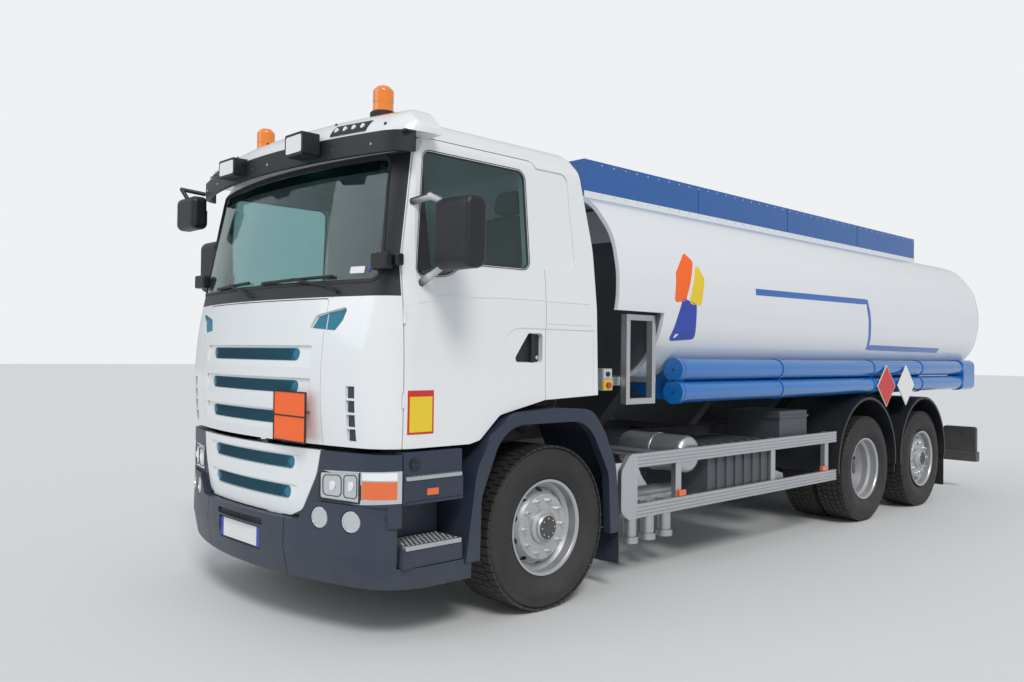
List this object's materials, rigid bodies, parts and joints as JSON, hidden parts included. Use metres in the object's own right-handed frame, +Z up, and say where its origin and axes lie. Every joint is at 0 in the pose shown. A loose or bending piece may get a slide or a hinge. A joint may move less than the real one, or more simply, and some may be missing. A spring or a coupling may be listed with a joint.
{
  "type": "three-axle rigid tanker truck",
  "caption": "Rigid cab-over tanker truck with tilting cab, opening doors, steered front wheels, twin drive wheels, box-section tank with walkway and side hose tubes.",
  "frame": {"origin": "on the ground under the middle of the truck's length and width", "axes": "+X forward, +Y to the truck's left, +Z up"},
  "size_m": [9.3082, 3.204, 3.18],
  "materials": {
    "white_paint": "gloss",
    "dark_plastic": "satin",
    "slate_paint": "satin",
    "blue_paint": "gloss",
    "tube_blue": "gloss",
    "anthracite": "satin",
    "aluminium": "satin",
    "wheel_silver": "satin",
    "rubber": "matte",
    "glass": "clear",
    "lamp": "clear",
    "amber": "gloss",
    "cast_metal": "matte",
    "trim": "matte"
  },
  "bodies": {
    "chassis": {"access_frames": "aluminium", "air_reservoirs": "aluminium", "catwalk": "blue_paint", "chassis_frame": "slate_paint", "discharge_valves": "aluminium", "engine_block": "cast_metal", "front_axle": "cast_metal", "front_bumper": "dark_plastic", "front_corners": "dark_plastic", "front_lamps": "lamp", "front_mudguards": "dark_plastic", "hose_tubes": "tube_blue", "lower_panel": "white_paint", "rear_axles": "cast_metal", "rear_bumper": "slate_paint", "rear_mudguards": "dark_plastic", "side_boxes": "anthracite", "side_guards": "aluminium", "step_wells": "dark_plastic", "suspension": "cast_metal", "tank_bulkhead": "anthracite", "tank_shell": "white_paint"},
    "cab": {"cab_roof": "white_paint", "cab_nose": "white_paint", "cab_walls": "white_paint", "cab_floor": "white_paint", "screen_trim": "dark_plastic", "roof_lamps": "lamp", "front_mirror": "dark_plastic", "windscreen": "glass", "seats": "trim", "dashboard": "trim", "sun_visor": "dark_plastic", "beacons": "amber"},
    "door_left": {"door_left": "white_paint", "door_glass_left": "glass", "mirror_left": "dark_plastic"},
    "door_right": {"door_right": "white_paint", "door_glass_right": "glass", "mirror_right": "dark_plastic"},
    "grille_flap": {"grille_flap": "white_paint"},
    "knuckle_left": {"knuckle_left": "cast_metal"},
    "knuckle_right": {"knuckle_right": "cast_metal"},
    "tie_rod": {"tie_rod": "cast_metal"},
    "manhole_cover_1": {"manhole_cover_1": "aluminium"},
    "manhole_cover_2": {"manhole_cover_2": "aluminium"},
    "manhole_cover_3": {"manhole_cover_3": "aluminium"},
    "wheel_front_left": {"wheel_front_left": "wheel_silver", "tyre_front_left": "rubber"},
    "wheel_front_right": {"wheel_front_right": "wheel_silver", "tyre_front_right": "rubber"},
    "wheel_drive_left": {"wheel_drive_left": "wheel_silver", "tyre_drive_left": "rubber"},
    "wheel_drive_right": {"wheel_drive_right": "wheel_silver", "tyre_drive_right": "rubber"},
    "wheel_tag_left": {"wheel_tag_left": "wheel_silver", "tyre_tag_left": "rubber"},
    "wheel_tag_right": {"wheel_tag_right": "wheel_silver", "tyre_tag_right": "rubber"}
  },
  "joints": [
    {"name": "cab_tilt", "type": "hinge", "parent": "chassis", "child": "cab", "pos_m": [4.495, 0, 0.7], "axis": [0, 1, 0], "range_deg": [0, 55]},
    {"name": "door_left_swing", "type": "hinge", "parent": "cab", "child": "door_left", "pos_m": [4.302, 1.201, 1.9], "axis": [0, 0, -1], "range_deg": [0, 70]},
    {"name": "door_right_swing", "type": "hinge", "parent": "cab", "child": "door_right", "pos_m": [4.302, -1.201, 1.9], "axis": [0, 0, 1], "range_deg": [0, 70]},
    {"name": "flap_lift", "type": "hinge", "parent": "cab", "child": "grille_flap", "pos_m": [4.561, 0, 1.891], "axis": [0, -1, 0], "range_deg": [0, 75]},
    {"name": "steer_left", "type": "hinge", "parent": "chassis", "child": "knuckle_left", "pos_m": [3.195, 0.885, 0.512], "axis": [0, 0, 1], "range_deg": [-38, 38]},
    {"name": "steer_right", "type": "hinge", "parent": "chassis", "child": "knuckle_right", "pos_m": [3.195, -0.885, 0.512], "axis": [0, 0, 1], "range_deg": [-38, 38]},
    {"name": "tie_rod_turn", "type": "hinge", "parent": "knuckle_left", "child": "tie_rod", "pos_m": [3.005, 0.785, 0.4], "axis": [0, 0, 1], "range_deg": [-38, 38]},
    {"name": "wheel_front_left_spin", "type": "hinge", "parent": "knuckle_left", "child": "wheel_front_left", "pos_m": [3.195, 1, 0.512], "axis": [0, 1, 0], "continuous": true},
    {"name": "wheel_front_right_spin", "type": "hinge", "parent": "knuckle_right", "child": "wheel_front_right", "pos_m": [3.195, -1, 0.512], "axis": [0, 1, 0], "continuous": true},
    {"name": "wheel_drive_left_spin", "type": "hinge", "parent": "chassis", "child": "wheel_drive_left", "pos_m": [-1.305, 1, 0.512], "axis": [0, 1, 0], "continuous": true},
    {"name": "wheel_drive_right_spin", "type": "hinge", "parent": "chassis", "child": "wheel_drive_right", "pos_m": [-1.305, -1, 0.512], "axis": [0, 1, 0], "continuous": true},
    {"name": "wheel_tag_left_spin", "type": "hinge", "parent": "chassis", "child": "wheel_tag_left", "pos_m": [-2.66, 1, 0.512], "axis": [0, 1, 0], "continuous": true},
    {"name": "wheel_tag_right_spin", "type": "hinge", "parent": "chassis", "child": "wheel_tag_right", "pos_m": [-2.66, -1, 0.512], "axis": [0, 1, 0], "continuous": true},
    {"name": "manhole_cover_1_lift", "type": "hinge", "parent": "chassis", "child": "manhole_cover_1", "pos_m": [1.0755, 0, 2.89], "axis": [0, -1, 0], "range_deg": [0, 100]},
    {"name": "manhole_cover_2_lift", "type": "hinge", "parent": "chassis", "child": "manhole_cover_2", "pos_m": [-0.9195, 0, 2.89], "axis": [0, -1, 0], "range_deg": [0, 100]},
    {"name": "manhole_cover_3_lift", "type": "hinge", "parent": "chassis", "child": "manhole_cover_3", "pos_m": [-2.9145, 0, 2.89], "axis": [0, -1, 0], "range_deg": [0, 100]}
  ],
  "couplings": [
    {"joint": "steer_right", "follows": "steer_left", "ratio": 1},
    {"joint": "tie_rod_turn", "follows": "steer_left", "ratio": -1}
  ]
}
